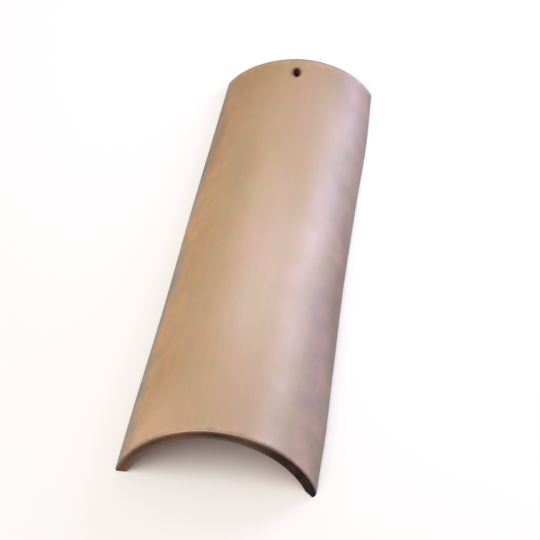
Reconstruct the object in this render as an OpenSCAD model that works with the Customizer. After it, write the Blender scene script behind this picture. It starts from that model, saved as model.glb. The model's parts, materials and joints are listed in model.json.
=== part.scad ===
// Tapered barrel roof tile, fired clay, lying on its two feet with the arch upward.
//
// X runs across the tile, Y along it and Z up. The wide end, the butt, is at -Y, and the
// narrow end, the head, with its nail hole, is at +Y. The feet are on Z = 0, and the
// origin is under the middle of the tile. Sizes are in millimetres.

/* [Barrel] */
// Length of the tile, from butt to head
tile_length = 457; // [300:1:600]
// Width over both feet at the butt
butt_width = 170; // [130:1:240]
// Height of the ridge at the butt
butt_rise = 61; // [40:1:110]
// Width over both feet at the head
head_width = 124; // [100:1:200]
// Height of the ridge at the head
head_rise = 38; // [30:1:90]
// Thickness of the clay
wall = 9.5; // [6:0.5:16]

/* [Nail hole] */
// Diameter of the nail hole
nail_hole_d = 6; // [3:0.5:10]
// Distance from the head's edge to the centre of the nail hole
nail_hole_inset = 15; // [10:0.5:40]
// Depth at which the drawn-out mouth of the nail hole meets the upright hole
mouth_depth = 3; // [0.5:0.5:5]
// Lean of the mouth towards the butt, in degrees from upright
mouth_lean = 45; // [20:1:55]
// How much narrower the drawn-out mouth is than the hole
mouth_narrowing = 0.4; // [0.2:0.2:1]

/* [Hidden] */

// Facets in a full turn
$fn = 144;

// How far a cutter runs past the surface that it cuts
past = 20;

half_length = tile_length / 2;

// A cross-section is the cap of a circle, so its radius follows from its width and rise.
function cap_radius(width, rise) = (width * width / 4 + rise * rise) / (2 * rise);

butt_radius = cap_radius(butt_width, butt_rise);
head_radius = cap_radius(head_width, head_rise);

// Height of each end's centre: below the floor where the cap is less than a half circle
butt_centre_z = butt_rise - butt_radius;
head_centre_z = head_rise - head_radius;

// The barrel's axis runs from one centre to the other.
axis_drop = butt_centre_z - head_centre_z;
axis_length = norm([tile_length, axis_drop]);
axis_tilt = atan2(axis_drop, tile_length);

// Outer radius of the barrel at a distance along its axis from the butt
function barrel_radius(along) = butt_radius + (head_radius - butt_radius) * along / axis_length;

nail_hole_y = half_length - nail_hole_inset;

// Height of the ridge over the nail hole
nail_hole_top_z = head_rise + (butt_rise - head_rise) * nail_hole_inset / tile_length;

// A cone on the barrel's axis that runs past both ends, with its radius less by inset
module barrel_cone(inset) {
    translate([0, -half_length, butt_centre_z])
        rotate([-90 - axis_tilt, 0, 0])
            translate([0, 0, -past])
                cylinder(
                    h = axis_length + 2 * past,
                    r1 = barrel_radius(-past) - inset,
                    r2 = barrel_radius(axis_length + past) - inset
                );
}

// The block that trims the barrel: square ends, and feet cut level with the floor
module trim_block() {
    width = 2 * max(butt_radius, head_radius) + 2 * past;
    height = max(butt_rise, head_rise) + past;
    translate([-width / 2, -half_length, 0])
        cube([width, tile_length, height]);
}

// An upright hole punched through the ridge, and the mouth that the punch drew out
module nail_punch() {
    translate([0, nail_hole_y, nail_hole_top_z - wall - past / 2])
        cylinder(h = wall + past, d = nail_hole_d);
    translate([0, nail_hole_y, nail_hole_top_z - mouth_depth])
        rotate([mouth_lean, 0, 0])
            cylinder(h = mouth_depth + past, d = nail_hole_d - mouth_narrowing);
}

module tile() {
    color("#B78168")
        difference() {
            intersection() {
                barrel_cone(0);
                trim_block();
            }
            barrel_cone(wall);
            nail_punch();
        }
}

tile();
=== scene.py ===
import json
import math

import bmesh
import bpy
from mathutils import Matrix, Vector, noise


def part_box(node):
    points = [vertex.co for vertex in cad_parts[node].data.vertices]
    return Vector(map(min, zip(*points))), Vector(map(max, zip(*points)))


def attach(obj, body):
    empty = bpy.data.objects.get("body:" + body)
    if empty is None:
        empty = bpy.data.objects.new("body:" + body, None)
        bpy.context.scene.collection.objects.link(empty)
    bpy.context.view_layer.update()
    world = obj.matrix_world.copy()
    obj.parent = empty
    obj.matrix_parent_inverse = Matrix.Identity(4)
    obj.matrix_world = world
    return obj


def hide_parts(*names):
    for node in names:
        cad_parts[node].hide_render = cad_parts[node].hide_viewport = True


# The tile is made as a tiler's yard makes one: a flat tapered slab of clay is wire-cut, punched for its
# nail, bent over a tapered mould and fired. Lengths are in metres, and MM turns millimetres to metres.
MM = 0.001
# Points this close together count as level with each other
near = 0.01 * MM
# A direction whose share along an axis is over this counts as square on to it
square_on = 0.99

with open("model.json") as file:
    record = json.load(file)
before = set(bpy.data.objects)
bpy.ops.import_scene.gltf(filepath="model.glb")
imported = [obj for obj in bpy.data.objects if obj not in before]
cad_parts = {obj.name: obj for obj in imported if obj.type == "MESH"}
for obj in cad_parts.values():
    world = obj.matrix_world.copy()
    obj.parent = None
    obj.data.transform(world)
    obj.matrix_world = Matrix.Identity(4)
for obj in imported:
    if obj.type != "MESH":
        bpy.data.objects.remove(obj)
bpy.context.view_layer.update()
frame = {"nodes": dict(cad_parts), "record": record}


# ---------------------------------------------------------------- sizes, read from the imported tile


def end_section(y):
    """The radius and centre height of the barrel, and its wall, on the end that lies at y."""
    rim = [v.co for v in frame["nodes"]["tile"].data.vertices if abs(v.co.y - y) < near]
    foot = [v.x for v in rim if abs(v.z) < near and v.x > 0]
    half_width, rise = max(foot), max(v.z for v in rim)
    radius = (half_width**2 + rise**2) / (2 * rise)
    centre_z = rise - radius
    wall = radius - math.hypot(min(foot), centre_z)
    return radius, centre_z, wall


tile_low, tile_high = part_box("tile")
butt_y, head_y = tile_low.y, tile_high.y
tile_length = head_y - butt_y
butt_radius, butt_centre_z, wall = end_section(butt_y)
head_radius, head_centre_z, _ = end_section(head_y)

nail_mount = next(m for m in frame["record"]["mounts"] if m["name"] == "nail_hole")
nail_y = nail_mount["pos_m"][1]
nail_radius = nail_mount["dims"]["r_mm"] * MM


# ---------------------------------------------------------------- the slab, before it is bent

# Cells across the tile, along it and through its wall, and through the wall of the nail hole
CELLS_ACROSS = 160
CELLS_ALONG = 236
CELLS_THICK = 8
HOLE_CELLS_THICK = 12
# The nail hole is punched out of this many cells either side of the middle, and along the tile
NAIL_CELLS_ACROSS = 3
NAIL_CELLS_ALONG = 6
# Half the width of the flat slab, near the mean half girth of the barrel
slab_half_width = 94 * MM
# Radii that handling and drying leave on the outer edges, and on the edges that lay on the mould
outer_edge_radius = 1.8 * MM
mould_edge_radius = 0.3 * MM


def lying_along(edge, axis):
    """True for an edge that runs along one axis of the slab."""
    run = (edge.verts[1].co - edge.verts[0].co).normalized()
    return abs(run[axis]) > square_on


def soften(bm, edges, radius, segments):
    """Rounds the given edges of the slab."""
    bmesh.ops.bevel(
        bm,
        geom=edges,
        offset=radius,
        segments=segments,
        profile=0.5,
        affect="EDGES",
        material=-1,
    )


def cut_slab():
    """A flat slab: X across, Y along and Z through its thickness, with Z = 0 on the outer face."""
    bm = bmesh.new()
    bmesh.ops.create_cube(bm, size=1)
    bmesh.ops.scale(bm, vec=(2 * slab_half_width, tile_length, wall), verts=bm.verts)
    bmesh.ops.translate(bm, vec=(0, (butt_y + head_y) / 2, -wall / 2), verts=bm.verts)
    outer = [e for e in bm.edges if min(v.co.z for v in e.verts) > -wall / 2]
    soften(bm, outer, outer_edge_radius, segments=4)
    mould = [e for e in bm.edges if max(v.co.z for v in e.verts) < near - wall]
    soften(bm, mould, mould_edge_radius, segments=2)
    for axis, cells in ((0, CELLS_ACROSS), (1, CELLS_ALONG), (2, CELLS_THICK)):
        run = [e for e in bm.edges if lying_along(e, axis) and e.calc_length() > wall / 2]
        bmesh.ops.subdivide_edges(bm, edges=run, cuts=cells - 1, use_grid_fill=True)
    return bm


def cell_size():
    """Size of one cell of the slab's outer face."""
    across = 2 * (slab_half_width - outer_edge_radius) / CELLS_ACROSS
    along = (tile_length - 2 * outer_edge_radius) / CELLS_ALONG
    return across, along


def nail_window():
    """The block of cells that the punch takes out: half its width, and its middle and half length."""
    across, along = cell_size()
    half_wide = NAIL_CELLS_ACROSS * across
    first_row = butt_y + outer_edge_radius
    rows_up = round((nail_y + nail_radius - first_row) / along)
    half_long = NAIL_CELLS_ALONG * along / 2
    return half_wide, first_row + rows_up * along - half_long, half_long


def punch_nail_hole(bm):
    """Takes the block of cells out of both broad faces and walls the hole between them."""
    half_wide, middle, half_long = nail_window()
    waste = []
    for face in bm.faces:
        centre = face.calc_center_median()
        in_window = abs(centre.x) < half_wide and abs(centre.y - middle) < half_long
        if in_window and abs(face.normal.z) > square_on:
            waste.append(face)
    bmesh.ops.delete(bm, geom=waste, context="FACES")
    rims = [e for e in bm.edges if e.is_boundary]
    walls = bmesh.ops.bridge_loops(bm, edges=rims)["faces"]
    upright = [e for e in bm.edges if lying_along(e, 2) and any(f in walls for f in e.link_faces)]
    bmesh.ops.subdivide_edges(bm, edges=upright, cuts=HOLE_CELLS_THICK - 1, use_grid_fill=True)


# Which finish each face takes, in the order of the tile's material slots
SKIN, CUT, UNDERSIDE, PUNCHED = 0, 1, 2, 3
# The slip wraps down over the worn outer edge by this share of its radius, on faces that look up at least
# this squarely, and faces that look down at least so squarely are the underside
slip_wrap = 0.3
looking_up = 0.5
looking_down = 0.9
# Upright faces this near the nail hole's centre are its walls
hole_reach = 3 * nail_radius
# The feet run along the tile, so the marks of the cut are drawn out this many times on them
foot_stretch = 10


def finish_for(face):
    """The finish that a face of the flat slab takes."""
    centre = face.calc_center_median()
    if centre.z > -slip_wrap * outer_edge_radius and face.normal.z > looking_up:
        return SKIN
    if face.normal.z < -looking_down:
        return UNDERSIDE
    if abs(centre.x) < hole_reach and abs(centre.y - nail_y) < hole_reach:
        return PUNCHED
    return CUT


def mark_faces(bm):
    """Gives each face its finish and maps it in metres, before the slab is bent: on the cut faces across
    the tile and through its wall, and on the others across the tile and along it."""
    slab_uv = bm.loops.layers.uv.new("slab")
    for face in bm.faces:
        face.smooth = True
        face.material_index = finish_for(face)
        on_foot = abs(face.calc_center_median().x) > slab_half_width - outer_edge_radius
        for loop in face.loops:
            across, along, depth = loop.vert.co
            if face.material_index != CUT:
                loop[slab_uv].uv = (across, along)
            elif on_foot:
                loop[slab_uv].uv = (across + along / foot_stretch, depth)
            else:
                loop[slab_uv].uv = (across, depth)


# ---------------------------------------------------------------- the mould, and how clay moves on it

# The punch drew the mouth of the nail hole out: how far it reaches from the hole's centre towards the
# butt, how far it leans to one side for each step that way, and the depth where it has closed to the
# round hole
mouth_reach = 7.4 * MM
mouth_skew = 0.145
mouth_depth = 3.5 * MM
# How far the hole's edge is broken on the outer face and on the inner one, and how fast that dies away
mouth_break = 0.8 * MM
exit_break = 0.4 * MM
break_depth = 0.6 * MM
# The rim of clay round the mouth: its height, the depth where it has died away, and its crest in rings of
# cells, where ring 1 is the hole's own edge. Rings past the last stay where they were.
rim_height = 0.35 * MM
rim_depth = 3 * MM
rim_ring = 1.3
last_ring = 3.0
# The head was cut this much out of square, as a slope across the tile. The slope is less at the feet by
# this share, and it sets in with this power of the distance from the butt.
head_out_of_square = 0.068
head_foot_loss = 0.8
head_onset = 6
# How much too long the head was cut, and how far back from it the clay gave way
head_overrun = 1.3 * MM
head_give = 9 * MM
# The wire strayed by this much over this length. It shows in the last of so many parts at each end, and
# the seed sets its course.
wire_stray = 0.4 * MM
wire_stray_length = 45 * MM
wire_stray_parts = 8
wire_stray_seed = 3.7
# A burr that the wire dragged from the right foot as it left the clay at the butt: its reach forward and
# outward, the height where it starts, and the share of the wall, from outside, where it comes to a point.
# It lies in the first of so many parts of the tile's length.
toe_drag = 6.2 * MM
toe_splay = 0.8 * MM
toe_height = 13 * MM
toe_point = 0.38
toe_parts = 14
# How the flanks moved as the clay dried: the side, the share of the length from the butt, the share that
# the movement reaches over, and how far out the foot went
flank_moves = [
    ("left", 0.39, 0.28, -0.9 * MM),
    ("right", 0.14, 0.14, 0.9 * MM),
    ("right", 0.50, 0.27, -1.3 * MM),
    ("right", 0.87, 0.17, 1.6 * MM),
]
# The unevenness of hand-finished clay: the height of each swell in millimetres, its length and its seed
swells = [
    (0.30, 95 * MM, 0),
    (0.14, 24 * MM, 5),
]
# The swells die away below this height, so that the feet lie flat
foot_flat = 12 * MM


def waver(x, y, z, length, seed):
    """A smooth waver between about -1 and 1 that repeats over roughly the given length."""
    return noise.noise(Vector((x / length + seed, y / length - seed, z / length + 2 * seed)))


def ease(t):
    """0 up to t = 0 and 1 from t = 1, with no corner between."""
    t = min(max(t, 0), 1)
    return t * t * (3 - 2 * t)


def barrel_at(y):
    """Outer radius and centre height of the mould at y."""
    t = (y - butt_y) / tile_length
    radius = butt_radius + (head_radius - butt_radius) * t
    return radius, butt_centre_z + (head_centre_z - butt_centre_z) * t


def mouth_outline(turn, depth):
    """A point on the nail hole's outline at a depth; turn is 0 on the +X side."""
    closed = ease(depth / mouth_depth)
    broken = mouth_break * math.exp(-depth / break_depth)
    broken += exit_break * math.exp((depth - wall) / break_depth)
    back = nail_radius + broken
    front = mouth_reach + (nail_radius - mouth_reach) * closed + broken
    off_middle = math.sin(turn) * (back + front) / 2
    return math.cos(turn) * back - mouth_skew * off_middle, nail_y + (back - front) / 2 + off_middle


def draw_to_hole(flat_x, flat_y, depth):
    """How far the clay moves across, along and up, to take the punched block into a round hole."""
    half_wide, middle, half_long = nail_window()
    across, along = flat_x / half_wide, (flat_y - middle) / half_long
    ring = max(abs(across), abs(along))
    if ring >= last_ring:
        return 0, 0, 0
    hole_x, hole_y = mouth_outline(math.atan2(along, across), depth)
    hold = ease((last_ring - ring) / (last_ring - 1))
    lift = rim_height * ease(1 - abs(ring - rim_ring)) * ease(1 - depth / rim_depth)
    return (hole_x - flat_x / ring) * hold, (hole_y - middle - (flat_y - middle) / ring) * hold, lift


def stray_cut(y, flat_x, depth):
    """Where a point lies along the tile, with the ends cut as unevenly as a wire cuts them."""
    along = (y - butt_y) / tile_length
    side = flat_x / slab_half_width
    y += head_out_of_square * flat_x * (1 - head_foot_loss * side**2) * along**head_onset
    y += head_overrun * ease((y - head_y) / head_give + 1)
    part = along * wire_stray_parts
    near_end = ease(1 - part) + ease(part - wire_stray_parts + 1)
    return y + wire_stray * waver(flat_x, depth, 0, wire_stray_length, wire_stray_seed) * near_end


def toe_pull(through, height, along):
    """The share of the toe's drag at a point; through is 0 on the outer face and 1 on the inner one."""
    nose = min(math.sqrt(max(through, 0) / toe_point), (1 - through) / (1 - toe_point))
    return nose * ease(1 - height / toe_height) * ease(1 - along * toe_parts)


def flank_move(side, along):
    """How far out the clay moved as it dried, strongest at the foot; side is -1 to 1."""
    moved = 0
    for flank, place, reach, distance in flank_moves:
        if (side > 0) == (flank == "right"):
            moved += distance * ease(1 - abs(along - place) / reach)
    return moved * side * abs(side)


def bend_over_mould(bm):
    """Bends the slab over the mould, with the small unevenness of hand-finished clay."""
    for v in bm.verts:
        flat_x, flat_y, depth = v.co.x, v.co.y, -v.co.z
        side = flat_x / slab_half_width
        drawn_x, drawn_y, rim = draw_to_hole(flat_x, flat_y, depth)
        y = flat_y + drawn_y
        along = (y - butt_y) / tile_length
        y = stray_cut(y, flat_x, depth)
        radius, centre_z = barrel_at(y)
        reach = radius - depth
        x = reach * math.sin(side * math.acos(-centre_z / reach)) + drawn_x
        lift = math.sqrt(reach**2 - x**2)
        z = max(centre_z + lift, 0)
        # The outer and the inner face are uneven each in their own way
        face_seed = 1 if depth < wall / 2 else 2
        swell = sum(height * waver(x, y, z, length, face_seed + seed) for height, length, seed in swells)
        out = Vector((x, 0, lift)).normalized()
        x += flank_move(side, along)
        if side > 0:
            pull = toe_pull(depth / wall, z, along)
            x += toe_splay * pull
            y -= toe_drag * pull
        v.co = Vector((x, y, z)) + out * (swell * MM * ease(z / foot_flat) + rim)


# ---------------------------------------------------------------- finishes


def paint(hex_colour):
    """An sRGB hex colour as the linear RGBA that a shader takes."""
    parts = [int(hex_colour[i : i + 2], 16) / 255 for i in (1, 3, 5)]
    linear = [c / 12.92 if c <= 0.04045 else ((c + 0.055) / 1.055) ** 2.4 for c in parts]
    return (*linear, 1)


def add(tree, kind, links=(), **settings):
    """Adds a node, sets its properties and inputs, and links outputs into its inputs."""
    node = tree.nodes.new(kind)
    for name, value in settings.items():
        setattr(node, name, value)
    for socket, source in dict(links).items():
        if hasattr(source, "is_output"):
            tree.links.new(source, node.inputs[socket])
        else:
            node.inputs[socket].default_value = source
    return node


def new_finish(name):
    """An empty material with its output and a shader."""
    finish = bpy.data.materials.new(name)
    finish.use_nodes = True
    tree = finish.node_tree
    tree.nodes.clear()
    shader = add(tree, "ShaderNodeBsdfPrincipled")
    add(tree, "ShaderNodeOutputMaterial", {"Surface": shader.outputs["BSDF"]})
    return finish, tree, shader


def where_on_tile(tree):
    """Where a point lies: in the tile's own frame, on the flat slab, and across and along that slab."""
    place = add(tree, "ShaderNodeTexCoord").outputs["Object"]
    slab = add(tree, "ShaderNodeUVMap", uv_map="slab").outputs["UV"]
    on_slab = add(tree, "ShaderNodeSeparateXYZ", {"Vector": slab})
    return place, slab, on_slab.outputs["X"], on_slab.outputs["Y"]


def set_stops(ramp, stops):
    """Gives a colour ramp its stops, each a share from 0 to 1 and a tone, and returns its colour."""
    steps = ramp.color_ramp.elements
    while len(steps) < len(stops):
        steps.new(0.5)
    for step, (share, tone) in zip(steps, stops):
        step.position = share
        step.color = paint(tone)
    return ramp.outputs["Color"]


def tones_round_barrel(tree, girth, offset, stops):
    """The colour for a distance round the barrel, with its middle at offset; a stop lies at -1 to 1."""
    share = add(
        tree,
        "ShaderNodeMapRange",
        {"Value": girth, "From Min": offset - slab_half_width, "From Max": offset + slab_half_width},
    )
    tones = add(tree, "ShaderNodeValToRGB", {"Fac": share.outputs["Result"]})
    return set_stops(tones, [((place + 1) / 2, tone) for place, tone in stops])


# ---------------------------------------------------------------- the fired skin, in the layers it took

# How far round the barrel each tone of the fired skin lies, from -1 at the left foot to 1 at the right.
# The tones darken towards both feet, most on the right, and that darkening is painted shade.
skin_tones_and_shade = [
    (-1.00, "#655545"),
    (-0.90, "#917B61"),
    (-0.79, "#AD864F"),
    (-0.66, "#B08A59"),
    (-0.45, "#B59571"),
    (-0.10, "#BEA184"),
    (0.18, "#BFA28A"),
    (0.42, "#B89F83"),
    (0.55, "#B29A82"),
    (0.68, "#A89684"),
    (0.90, "#978279"),
    (1.00, "#857D70"),
]
# How far a tone's border wanders round the barrel, and over what length
tone_wander = 36 * MM
wander_length = 80 * MM

# Where flame and smoke touched the skin, and two bands of painted shade: millimetres round the barrel from
# the ridge and along it from mid-length, the reach both ways, the tone that they left and how strongly
kiln_flashes_and_shade = [
    (10, -40, 44, 175, "#D4C0B6", 0.55),
    (-54, -235, 46, 90, "#D6B294", 0.50),
    # Painted shade: a dusky strip along the right edge of the sheen
    (70, -115, 16, 150, "#A68C93", 0.60),
    (56, 215, 24, 70, "#84601F", 0.36),
    (-80, 150, 18, 90, "#7C5016", 0.45),
    (-28, 92, 26, 62, "#A08468", 0.42),
    (74, -218, 24, 75, "#C6AAA0", 0.55),
    (68, 224, 26, 26, "#A8867A", 0.45),
    # Painted shade: dark along the right flank by the foot
    (88, -10, 16, 140, "#705650", 0.50),
]
# How far a flash's border drifts
flash_drift = 30 * MM

# The tones from the butt, at 0, to the head, at 1: the head is darker and yellower
length_tones = [
    (0.00, "#FCFAFA"),
    (0.30, "#FFFFFF"),
    (0.68, "#FFFFFF"),
    (0.88, "#F5F5F5"),
    (1.00, "#EAE6D9"),
]

# The share of grog grains of each tone: a few iron-dark, most like the clay, and a few pale
grog_tones = [
    (0.10, "#5E4436"),
    (0.14, "#BC9C84"),
    (0.90, "#BC9C84"),
    (0.93, "#DCC9B4"),
]

# How strongly the painted shade of the cut end reaches over the butt's arris, from black for not at all
# to white for a black edge
arris_shade_reach = [
    (-1.00, "#E8E8E8"),
    (-0.88, "#DADADA"),
    (-0.70, "#A0A0A0"),
    (-0.50, "#BCBCBC"),
    (-0.30, "#606060"),
    (0.00, "#A6A6A6"),
    (0.30, "#AAAAAA"),
    (0.50, "#EBEBEB"),
    (1.00, "#F3F3F3"),
]

# A darker brown ring round the nail hole: how far its middle lies towards the butt, and its reach both ways
brown_ring_offset = 1.5 * MM
brown_ring_reach = (6.4 * MM, 8.4 * MM, 1)


def fire_tones(tree, across, wander):
    """The tones round the barrel, darker towards the feet with painted shade, with a wandering border."""
    girth = add(
        tree,
        "ShaderNodeMath",
        {0: wander.outputs["Fac"], 1: tone_wander, 2: across},
        operation="MULTIPLY_ADD",
    )
    return tones_round_barrel(tree, girth.outputs[0], tone_wander / 2, skin_tones_and_shade)


def fire_flashes_and_shade(tree, slab, wander, under):
    """The flashes and the two bands of painted shade, with borders that drift by a few millimetres, over
    the colour under them.
    """
    drifted = add(
        tree,
        "ShaderNodeVectorMath",
        {0: wander.outputs["Color"], 1: (flash_drift, flash_drift, 0), 2: slab},
        operation="MULTIPLY_ADD",
    )
    for across, along, reach_across, reach_along, tone, strength in kiln_flashes_and_shade:
        on_flash = add(
            tree,
            "ShaderNodeMapping",
            {
                "Vector": drifted.outputs["Vector"],
                "Location": (across * MM + flash_drift / 2, along * MM + flash_drift / 2, 0),
                "Scale": (reach_across * MM, reach_along * MM, 1),
            },
            vector_type="TEXTURE",
        )
        glow = add(
            tree,
            "ShaderNodeTexGradient",
            {"Vector": on_flash.outputs["Vector"]},
            gradient_type="SPHERICAL",
        )
        hold = add(
            tree,
            "ShaderNodeMapRange",
            {"Value": glow.outputs["Fac"], "From Max": 0.9, "To Max": strength},
            interpolation_type="SMOOTHSTEP",
        )
        flash = add(
            tree,
            "ShaderNodeMixRGB",
            {"Fac": hold.outputs["Result"], "Color1": under, "Color2": paint(tone)},
        )
        under = flash.outputs["Color"]
    return under


def cloud(tree, clouds, under):
    """Clouds of faint rose and olive."""
    tones = add(tree, "ShaderNodeValToRGB", {"Fac": clouds.outputs["Fac"]})
    clouded = add(
        tree,
        "ShaderNodeMixRGB",
        {
            "Fac": 0.40,
            "Color1": under,
            "Color2": set_stops(tones, [(0.36, "#C4BAB6"), (0.64, "#B6BEAC")]),
        },
        blend_type="OVERLAY",
    )
    return clouded.outputs["Color"]


def mottle(tree, slab, across, under):
    """Closer to the feet the fire mottled the skin, in soft flecks about 18 mm across: grey, and orange on
    the left flank but rose on the right."""
    near_feet = add(tree, "ShaderNodeMath", {0: across}, operation="ABSOLUTE")
    hold = add(
        tree,
        "ShaderNodeMapRange",
        {
            "Value": near_feet.outputs[0],
            "From Min": 36 * MM,
            "From Max": 88 * MM,
            "To Min": 0.05,
            "To Max": 0.50,
        },
        interpolation_type="SMOOTHSTEP",
    )
    fleck_place = add(
        tree,
        "ShaderNodeMapping",
        {"Vector": slab, "Scale": (1 / (17 * MM), 1 / (18 * MM), 1)},
    )
    flecks = add(
        tree,
        "ShaderNodeTexNoise",
        {"Vector": fleck_place.outputs["Vector"], "Scale": 1.0, "Detail": 2.0, "Roughness": 0.5},
    )
    fleck_share = add(
        tree,
        "ShaderNodeMapRange",
        {"Value": flecks.outputs["Fac"], "From Min": 0.36, "From Max": 0.64},
    )
    on_right_flank = add(
        tree,
        "ShaderNodeMapRange",
        {"Value": across, "From Min": -40 * MM, "From Max": 40 * MM},
    )
    warm_fleck = add(
        tree,
        "ShaderNodeMixRGB",
        {"Fac": on_right_flank.outputs["Result"], "Color1": paint("#DAB696"), "Color2": paint("#CCAAA2")},
    )
    fleck_tones = add(
        tree,
        "ShaderNodeMixRGB",
        {
            "Fac": fleck_share.outputs["Result"],
            "Color1": warm_fleck.outputs["Color"],
            "Color2": paint("#989288"),
        },
    )
    mottled = add(
        tree,
        "ShaderNodeMixRGB",
        {"Fac": hold.outputs["Result"], "Color1": under, "Color2": fleck_tones.outputs["Color"]},
        blend_type="OVERLAY",
    )
    return mottled.outputs["Color"]


def strickle_lines(tree, slab):
    """Lines that the strickle drew along the tile, in bands up to 5 mm across."""
    along_lines = add(
        tree,
        "ShaderNodeMapping",
        {"Vector": slab, "Scale": (1 / (5 * MM), 1 / (130 * MM), 1)},
    )
    lines = add(
        tree,
        "ShaderNodeTexNoise",
        {
            "Vector": along_lines.outputs["Vector"],
            "Scale": 1.0,
            "Detail": 4.0,
            "Roughness": 0.65,
            "Distortion": 0.3,
        },
    )
    return lines.outputs["Fac"]


def grog(tree, place):
    """Grog is crushed fired clay, in grains of about a millimetre. Where each lies, and its tone."""
    grains = add(
        tree,
        "ShaderNodeTexVoronoi",
        {"Vector": place, "Scale": 1 / (2.2 * MM), "Randomness": 1.0},
        feature="F1",
    )
    grain_edge = add(
        tree,
        "ShaderNodeMapRange",
        {
            "Value": grains.outputs["Distance"],
            "From Min": 0.10,
            "From Max": 0.32,
            "To Min": 0.3,
            "To Max": 0.0,
        },
    )
    # The cell's own random colour picks the few cells that hold a grain, and each grain's tone
    drawn = add(tree, "ShaderNodeSeparateColor", {"Color": grains.outputs["Color"]})
    picked = add(
        tree,
        "ShaderNodeMapRange",
        {"Value": drawn.outputs["Green"], "From Min": 0.84, "From Max": 0.86},
    )
    on_grain = add(
        tree,
        "ShaderNodeMath",
        {0: grain_edge.outputs["Result"], 1: picked.outputs["Result"]},
        operation="MULTIPLY",
    )
    tones = add(tree, "ShaderNodeValToRGB", {"Fac": drawn.outputs["Red"]})
    return on_grain.outputs[0], set_stops(tones, grog_tones)


def shade_length(tree, along, under):
    """Darkens the tile along its length, most towards the head."""
    share = add(
        tree,
        "ShaderNodeMapRange",
        {"Value": along, "From Min": butt_y, "From Max": head_y},
    )
    tones = add(tree, "ShaderNodeValToRGB", {"Fac": share.outputs["Result"]})
    shaded = add(
        tree,
        "ShaderNodeMixRGB",
        {"Fac": 1.0, "Color1": under, "Color2": set_stops(tones, length_tones)},
        blend_type="MULTIPLY",
    )
    return shaded.outputs["Color"]


def pale_end_patches(tree, end_breakup, along, under):
    """Paler in patches along the arris of the two cut ends."""
    end_reach = add(tree, "ShaderNodeMath", {0: along}, operation="ABSOLUTE")
    patch_reach = add(
        tree,
        "ShaderNodeMath",
        {0: end_breakup.outputs["Fac"], 1: 22 * MM, 2: end_reach.outputs[0]},
        operation="MULTIPLY_ADD",
    )
    hold = add(
        tree,
        "ShaderNodeMapRange",
        {
            "Value": patch_reach.outputs[0],
            "From Min": head_y + 3 * MM,
            "From Max": head_y + 14 * MM,
            "To Max": 0.35,
        },
        interpolation_type="SMOOTHSTEP",
    )
    paled = add(
        tree,
        "ShaderNodeMixRGB",
        {"Fac": hold.outputs["Result"], "Color1": under, "Color2": paint("#D6BCAA")},
    )
    return paled.outputs["Color"]


def shade_butt_arris(tree, end_breakup, across, along, under):
    """Painted shade over the butt's arris, in a ragged band a few millimetres wide, darker to the right."""
    ragged = add(
        tree,
        "ShaderNodeMath",
        {0: end_breakup.outputs["Fac"], 1: 4 * MM, 2: along},
        operation="MULTIPLY_ADD",
    )
    at_arris = add(
        tree,
        "ShaderNodeMapRange",
        {"Value": ragged.outputs[0], "From Min": butt_y + 7.5 * MM, "From Max": butt_y + 2.4 * MM},
        interpolation_type="SMOOTHSTEP",
    )
    hold = add(
        tree,
        "ShaderNodeMath",
        {0: at_arris.outputs["Result"], 1: tones_round_barrel(tree, across, 0, arris_shade_reach)},
        operation="MULTIPLY",
    )
    arris_shaded = add(
        tree,
        "ShaderNodeMixRGB",
        {"Fac": hold.outputs[0], "Color1": under, "Color2": paint("#33231C")},
    )
    return arris_shaded.outputs["Color"]


def grey_head_edge(tree, along, under):
    """The very edge of the head turns grey."""
    hold = add(
        tree,
        "ShaderNodeMapRange",
        {
            "Value": along,
            "From Min": head_y - 4.0 * MM,
            "From Max": head_y - 1.2 * MM,
            "To Max": 0.65,
        },
        interpolation_type="SMOOTHSTEP",
    )
    greyed = add(
        tree,
        "ShaderNodeMixRGB",
        {"Fac": hold.outputs["Result"], "Color1": under, "Color2": paint("#8A8680")},
    )
    return greyed.outputs["Color"]


def brown_ring_round_hole(tree, place, under):
    """Darker brown in a soft ring round the nail hole."""
    round_hole = add(
        tree,
        "ShaderNodeMapping",
        {"Vector": place, "Location": (0, nail_y - brown_ring_offset, 0), "Scale": brown_ring_reach},
        vector_type="TEXTURE",
    )
    from_hole = add(
        tree,
        "ShaderNodeTexGradient",
        {"Vector": round_hole.outputs["Vector"]},
        gradient_type="SPHERICAL",
    )
    hold = add(
        tree,
        "ShaderNodeMapRange",
        {"Value": from_hole.outputs["Fac"], "From Max": 0.5, "To Max": 0.8},
        interpolation_type="SMOOTHSTEP",
    )
    ringed = add(
        tree,
        "ShaderNodeMixRGB",
        {"Fac": hold.outputs["Result"], "Color1": under, "Color2": paint("#6A4632")},
    )
    return ringed.outputs["Color"]


def skin_relief(tree, place, lines, on_grain):
    """The orange-peel of the slip, the strickle's lines, and a pit where each grain of grog lies."""
    peel = add(
        tree,
        "ShaderNodeTexNoise",
        {"Vector": place, "Scale": 1 / (1.5 * MM), "Detail": 3.0, "Roughness": 0.6},
    )
    peeled = add(
        tree,
        "ShaderNodeBump",
        {"Strength": 0.5, "Distance": 0.05 * MM, "Height": peel.outputs["Fac"]},
    )
    struck = add(
        tree,
        "ShaderNodeBump",
        {"Strength": 0.5, "Distance": 0.08 * MM, "Height": lines, "Normal": peeled.outputs["Normal"]},
    )
    pitted = add(
        tree,
        "ShaderNodeBump",
        {"Strength": 0.6, "Distance": 0.25 * MM, "Height": on_grain, "Normal": struck.outputs["Normal"]},
        invert=True,
    )
    return pitted.outputs["Normal"]


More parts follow.
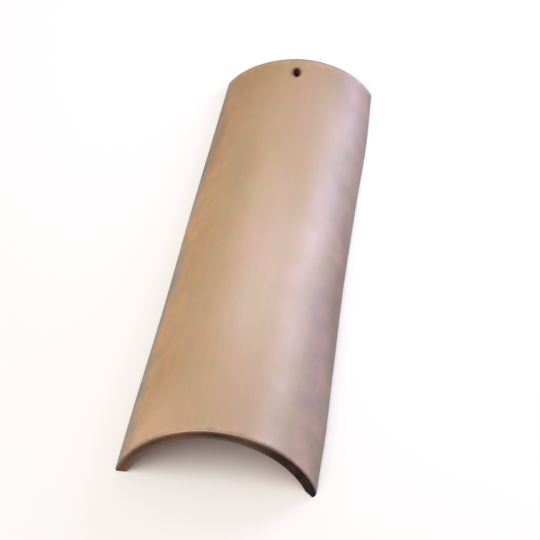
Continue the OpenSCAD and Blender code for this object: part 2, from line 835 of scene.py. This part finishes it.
def fired_skin():
    """Terracotta with a thin fired slip. The kiln's draught ran from the left, so the skin goes from tan
    through peach to rose round the barrel, with soft clouds; its darkening towards both feet, most on the
    right, is painted shade. It is smooth from the strickle that struck it off, which left faint lines along
    the tile. The fire fused the slip a little, so it has a dull satin sheen, stronger than that of raw clay
    and uneven where the clouds lie."""
    finish, tree, shader = new_finish("fired_terracotta_slip")
    place, slab, across, along = where_on_tile(tree)
    wander = add(
        tree,
        "ShaderNodeTexNoise",
        {"Vector": place, "Scale": 1 / wander_length, "Detail": 2.0, "Roughness": 0.5},
    )
    # Clouds a thumb's breadth across
    clouds = add(
        tree,
        "ShaderNodeTexNoise",
        {"Vector": place, "Scale": 1 / (34 * MM), "Detail": 4.0, "Roughness": 0.55},
    )
    # Noise about 6 mm across, which breaks up the pale patches and the painted shade along the ends
    end_breakup = add(
        tree,
        "ShaderNodeTexNoise",
        {"Vector": place, "Scale": 1 / (6 * MM), "Detail": 4.0, "Roughness": 0.6},
    )
    lines = strickle_lines(tree, slab)
    on_grain, grain_tone = grog(tree, place)

    colour = fire_tones(tree, across, wander)
    colour = fire_flashes_and_shade(tree, slab, wander, colour)
    colour = cloud(tree, clouds, colour)
    colour = mottle(tree, slab, across, colour)
    lined = add(
        tree,
        "ShaderNodeMixRGB",
        {"Fac": 0.08, "Color1": colour, "Color2": lines},
        blend_type="OVERLAY",
    )
    grogged = add(
        tree,
        "ShaderNodeMixRGB",
        {"Fac": on_grain, "Color1": lined.outputs["Color"], "Color2": grain_tone},
    )
    colour = shade_length(tree, along, grogged.outputs["Color"])
    colour = pale_end_patches(tree, end_breakup, along, colour)
    colour = shade_butt_arris(tree, end_breakup, across, along, colour)
    colour = grey_head_edge(tree, along, colour)
    colour = brown_ring_round_hole(tree, place, colour)
    tree.links.new(colour, shader.inputs["Base Color"])

    sheen_break = add(
        tree,
        "ShaderNodeMapRange",
        {
            "Value": clouds.outputs["Fac"],
            "From Min": 0.3,
            "From Max": 0.7,
            "To Min": 0.39,
            "To Max": 0.49,
        },
    )
    tree.links.new(sheen_break.outputs["Result"], shader.inputs["Roughness"])
    shader.inputs["IOR"].default_value = 1.7
    tree.links.new(skin_relief(tree, place, lines, on_grain), shader.inputs["Normal"])
    return finish


# ---------------------------------------------------------------- the other finishes

# Painted shade on the cut ends, darker to the right, from -1 at the left foot to 1 at the right
cut_shade_tones = [
    (-1.00, "#6E4636"),
    (-0.70, "#5A4033"),
    (-0.50, "#533E25"),
    (-0.30, "#614434"),
    (0.00, "#3A281F"),
    (0.30, "#4D3B34"),
    (0.50, "#312320"),
    (0.70, "#291817"),
    (1.00, "#241416"),
]
# How far a shade tone's border wanders round the barrel
cut_shade_wander = 16 * MM


def paint_cut_shade(tree, place, across):
    """Painted shade on the cut, in blots about 8 mm across."""
    shade_blots = add(
        tree,
        "ShaderNodeTexNoise",
        {"Vector": place, "Scale": 1 / (8 * MM), "Detail": 4.0, "Roughness": 0.6},
    )
    girth = add(
        tree,
        "ShaderNodeMath",
        {0: shade_blots.outputs["Fac"], 1: cut_shade_wander, 2: across},
        operation="MULTIPLY_ADD",
    )
    shaded_cut = add(
        tree,
        "ShaderNodeMixRGB",
        {
            "Fac": 0.6,
            "Color1": tones_round_barrel(tree, girth.outputs[0], cut_shade_wander / 2, cut_shade_tones),
            "Color2": shade_blots.outputs["Color"],
        },
        blend_type="OVERLAY",
    )
    return shaded_cut.outputs["Color"]


def tear_open(tree, place, under):
    """Where the wire tore the clay, its red body shows through the painted shade in crumbs about 5 mm
    across.
    """
    crumbs = add(
        tree,
        "ShaderNodeTexNoise",
        {"Vector": place, "Scale": 1 / (5 * MM), "Detail": 3.0, "Roughness": 0.6},
    )
    hold = add(
        tree,
        "ShaderNodeMapRange",
        {"Value": crumbs.outputs["Fac"], "From Min": 0.46, "From Max": 0.64, "To Max": 0.32},
        interpolation_type="SMOOTHSTEP",
    )
    torn = add(
        tree,
        "ShaderNodeMixRGB",
        {"Fac": hold.outputs["Result"], "Color1": under, "Color2": paint("#523430")},
    )
    return torn.outputs["Color"]


def edge_of_cut(tree, depth, starts, ends, strength, on_left, tone, under):
    """A tone that grows from one depth of the cut to another, and shows only towards the left."""
    at_depth = add(
        tree,
        "ShaderNodeMapRange",
        {"Value": depth, "From Min": -starts, "From Max": -ends, "To Max": strength},
        interpolation_type="SMOOTHSTEP",
    )
    hold = add(
        tree,
        "ShaderNodeMath",
        {0: at_depth.outputs["Result"], 1: on_left},
        operation="MULTIPLY",
    )
    edged = add(
        tree,
        "ShaderNodeMixRGB",
        {"Fac": hold.outputs[0], "Color1": under, "Color2": paint(tone)},
    )
    return edged.outputs["Color"]


def cut_relief(tree, place, drag):
    """Open pores of about a millimetre, and the marks that the wire dragged."""
    pores = add(
        tree,
        "ShaderNodeTexNoise",
        {"Vector": place, "Scale": 1 / (1.4 * MM), "Detail": 4.0, "Roughness": 0.7},
    )
    pored = add(
        tree,
        "ShaderNodeBump",
        {"Strength": 0.7, "Distance": 0.4 * MM, "Height": pores.outputs["Fac"]},
    )
    torn = add(
        tree,
        "ShaderNodeBump",
        {"Strength": 0.8, "Distance": 0.4 * MM, "Height": drag, "Normal": pored.outputs["Normal"]},
    )
    return torn.outputs["Normal"]


def wire_cut():
    """Bare clay where the wire cut it: torn, and darkened with painted shade from brown at the left to
    near black at the right, with drag marks that run with the wire. Its open pores take nearly all the
    shine."""
    finish, tree, shader = new_finish("wire_cut_clay_painted_shade")
    place, slab, across, depth = where_on_tile(tree)
    on_left = add(
        tree,
        "ShaderNodeMapRange",
        {"Value": across, "From Min": 55 * MM, "From Max": 10 * MM},
    ).outputs["Result"]
    # Drag marks about a millimetre apart
    along_wire = add(
        tree,
        "ShaderNodeMapping",
        {"Vector": slab, "Scale": (1 / (11 * MM), 1 / (0.9 * MM), 1)},
    )
    drag = add(
        tree,
        "ShaderNodeTexNoise",
        {"Vector": along_wire.outputs["Vector"], "Scale": 1.0, "Detail": 4.0, "Roughness": 0.65},
    ).outputs["Fac"]

    colour = paint_cut_shade(tree, place, across)
    colour = tear_open(tree, place, colour)
    # Towards the left, the cut is a lighter brown near the arris, and its inner edge is greyed with painted
    # shade
    colour = edge_of_cut(tree, depth, 3.2 * MM, 0.2 * MM, 0.7, on_left, "#8A6A54", colour)
    colour = edge_of_cut(tree, depth, 4.5 * MM, 9.5 * MM, 0.6, on_left, "#766A60", colour)
    dragged = add(
        tree,
        "ShaderNodeMixRGB",
        {"Fac": 0.45, "Color1": colour, "Color2": drag},
        blend_type="OVERLAY",
    )
    tree.links.new(dragged.outputs["Color"], shader.inputs["Base Color"])
    shader.inputs["Roughness"].default_value = 0.9
    shader.inputs["Specular IOR Level"].default_value = 0.15
    tree.links.new(cut_relief(tree, place, drag), shader.inputs["Normal"])
    return finish


def sanded_underside():
    """The face that lay on the mould, with no slip: a matt, deeper orange clay, clouded by the fire, with
    the grit of the parting sand pressed into it."""
    finish, tree, shader = new_finish("sanded_terracotta")
    place = add(tree, "ShaderNodeTexCoord").outputs["Object"]
    clouds = add(
        tree,
        "ShaderNodeTexNoise",
        {"Vector": place, "Scale": 1 / (45 * MM), "Detail": 4.0, "Roughness": 0.55},
    )
    tones = add(tree, "ShaderNodeValToRGB", {"Fac": clouds.outputs["Fac"]})

    # Parting sand, in grains of about 0.8 mm
    sand = add(
        tree,
        "ShaderNodeTexVoronoi",
        {"Vector": place, "Scale": 1 / (0.8 * MM), "Randomness": 1.0},
        feature="F1",
    )
    grain_tone = add(tree, "ShaderNodeSeparateColor", {"Color": sand.outputs["Color"]})
    gritty = add(
        tree,
        "ShaderNodeMixRGB",
        {
            "Fac": 0.30,
            "Color1": set_stops(tones, [(0.3, "#93603F"), (0.7, "#B98763")]),
            "Color2": grain_tone.outputs["Red"],
        },
        blend_type="OVERLAY",
    )
    tree.links.new(gritty.outputs["Color"], shader.inputs["Base Color"])
    shader.inputs["Roughness"].default_value = 0.85
    relief = add(
        tree,
        "ShaderNodeBump",
        {"Strength": 0.5, "Distance": 0.25 * MM, "Height": sand.outputs["Distance"]},
    )
    tree.links.new(relief.outputs["Normal"], shader.inputs["Normal"])
    return finish


def punched_clay():
    """The inside of the nail hole, which no slip reached: brown clay that the punch smeared, darkened with
    painted shade, so the hole shows as a warm dark spot and not a black one."""
    finish, tree, shader = new_finish("punched_clay_painted_shade")
    place = add(tree, "ShaderNodeTexCoord").outputs["Object"]
    smears = add(
        tree,
        "ShaderNodeTexNoise",
        {"Vector": place, "Scale": 1 / (2.5 * MM), "Detail": 3.0, "Roughness": 0.6},
    )
    tones = add(tree, "ShaderNodeValToRGB", {"Fac": smears.outputs["Fac"]})
    smeared = set_stops(tones, [(0.35, "#452413"), (0.65, "#66381E")])
    tree.links.new(smeared, shader.inputs["Base Color"])
    shader.inputs["Roughness"].default_value = 0.8
    relief = add(
        tree,
        "ShaderNodeBump",
        {"Strength": 0.5, "Distance": 0.2 * MM, "Height": smears.outputs["Fac"]},
    )
    tree.links.new(relief.outputs["Normal"], shader.inputs["Normal"])
    return finish


def make_tile():
    """The finished tile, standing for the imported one."""
    bm = cut_slab()
    punch_nail_hole(bm)
    mark_faces(bm)
    bend_over_mould(bm)
    mesh = bpy.data.meshes.new("roof_tile")
    bm.to_mesh(mesh)
    bm.free()
    tile = bpy.data.objects.new("roof_tile", mesh)
    bpy.context.scene.collection.objects.link(tile)
    for finish in (fired_skin(), wire_cut(), sanded_underside(), punched_clay()):
        mesh.materials.append(finish)
    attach(tile, "root")
    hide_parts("tile")


# ---------------------------------------------------------------- studio

# Half the width of the floor, in metres, which fills the view at a low angle
floor_half_width = 30
# How far off the overhead light hangs, in metres. A light of its kind is as bright from any distance.
overhead_distance = 3
# Where the strip light hangs, from its near end to its far one, and how wide it is, in metres
strip_near_end = Vector((0.38, 0.33, 0.50))
strip_far_end = Vector((0.60, 0.83, 0.06))
strip_width = 0.24

# The camera, in degrees: how far round from the butt it stands, how high, and how far it leans
camera_azimuth = 9.78
camera_elevation = 46.8
camera_roll = -1.175
# Its distance from the place that it aims at, and that place: a height over the middle of the tile, and
# from there a step to the right and one down
camera_distance = 8.0
aim_height = 30 * MM
aim_right = 9.95 * MM
aim_down = 10.35 * MM
# The width of its frame and its focal length, both in millimetres
frame_width = 36
focal_length = 633.867


def make_floor():
    """A plain pale floor."""
    finish, _, shader = new_finish("pale_studio_floor")
    shader.inputs["Base Color"].default_value = paint("#F3F3F3")
    shader.inputs["Roughness"].default_value = 0.9
    bm = bmesh.new()
    bmesh.ops.create_grid(bm, x_segments=1, y_segments=1, size=floor_half_width)
    mesh = bpy.data.meshes.new("studio_floor")
    bm.to_mesh(mesh)
    bm.free()
    mesh.materials.append(finish)
    floor = bpy.data.objects.new("studio_floor", mesh)
    bpy.context.scene.collection.objects.link(floor)


def towards(bearing, height):
    """A unit vector: bearing turns from +Y towards +X and height is over the horizon, in degrees."""
    turn, rise = math.radians(bearing), math.radians(height)
    return Vector((math.sin(turn) * math.cos(rise), math.cos(turn) * math.cos(rise), math.sin(rise)))


def hang(name, lamp, place, facing):
    """Hangs a lamp at a place, shining away from the way that facing points."""
    holder = bpy.data.objects.new(name, lamp)
    holder.location = place
    holder.rotation_mode = "QUATERNION"
    holder.rotation_quaternion = facing
    bpy.context.scene.collection.objects.link(holder)
    return holder


def hang_sky_lamp(name, way, strength, spread, colour):
    """A far-off soft light, the same over the whole floor; spread is how wide it looks, in degrees."""
    lamp = bpy.data.lights.new(name, "SUN")
    lamp.energy = strength
    lamp.angle = math.radians(spread)
    lamp.color = paint(colour)[:3]
    hang(name, lamp, way * overhead_distance, way.to_track_quat("Z", "Y"))


def hang_strip_light(name, near_end, far_end, width, power, colour):
    """A strip softbox between two points, turned to the middle of the tile."""
    lamp = bpy.data.lights.new(name, "AREA")
    lamp.shape = "RECTANGLE"
    lamp.size = (far_end - near_end).length
    lamp.size_y = width
    lamp.energy = power
    lamp.color = paint(colour)[:3]
    middle = (near_end + far_end) / 2
    back = middle.normalized()
    length = (far_end - near_end).normalized()
    side = back.cross(length).normalized()
    length = side.cross(back)
    facing = Matrix((length, side, back)).transposed().to_quaternion()
    hang(name, lamp, middle, facing).visible_camera = False


def light_studio():
    """Pale surroundings, a warm soft light over the near left and a cool strip low on the far right."""
    world = bpy.data.worlds.new("pale_surroundings")
    bpy.context.scene.world = world
    world.use_nodes = True
    background = world.node_tree.nodes["Background"]
    background.inputs["Color"].default_value = paint("#F4F4F6")
    background.inputs["Strength"].default_value = 0.45
    overhead = towards(bearing=-150, height=62)
    hang_sky_lamp("overhead_light", overhead, strength=2.3, spread=60, colour="#FFF8F0")
    hang_strip_light(
        "strip_light",
        strip_near_end,
        strip_far_end,
        strip_width,
        power=3.9,
        colour="#D2D3FC",
    )


def place_camera():
    """A long lens from the butt end, a little to the right, looking down at the tile."""
    back = towards(180 - camera_azimuth, camera_elevation)
    roll = math.radians(camera_roll)
    right = (-back).cross(Vector((0, 0, 1))).normalized()
    up = right.cross(-back)
    rolled_right = math.cos(roll) * right + math.sin(roll) * up
    rolled_up = math.cos(roll) * up - math.sin(roll) * right
    aim = Vector((0, 0, aim_height)) + rolled_right * aim_right - rolled_up * aim_down
    lens = bpy.data.cameras.new("long_lens")
    lens.sensor_width = frame_width
    lens.lens = focal_length
    camera = bpy.data.objects.new("camera", lens)
    camera.location = aim + back * camera_distance
    camera.rotation_mode = "QUATERNION"
    turn = Matrix((rolled_right, rolled_up, back)).transposed()
    camera.rotation_quaternion = turn.to_quaternion()
    bpy.context.scene.collection.objects.link(camera)
    bpy.context.scene.camera = camera


place_camera()
make_floor()
light_studio()
make_tile()
bpy.context.scene.view_settings.view_transform = "Standard"
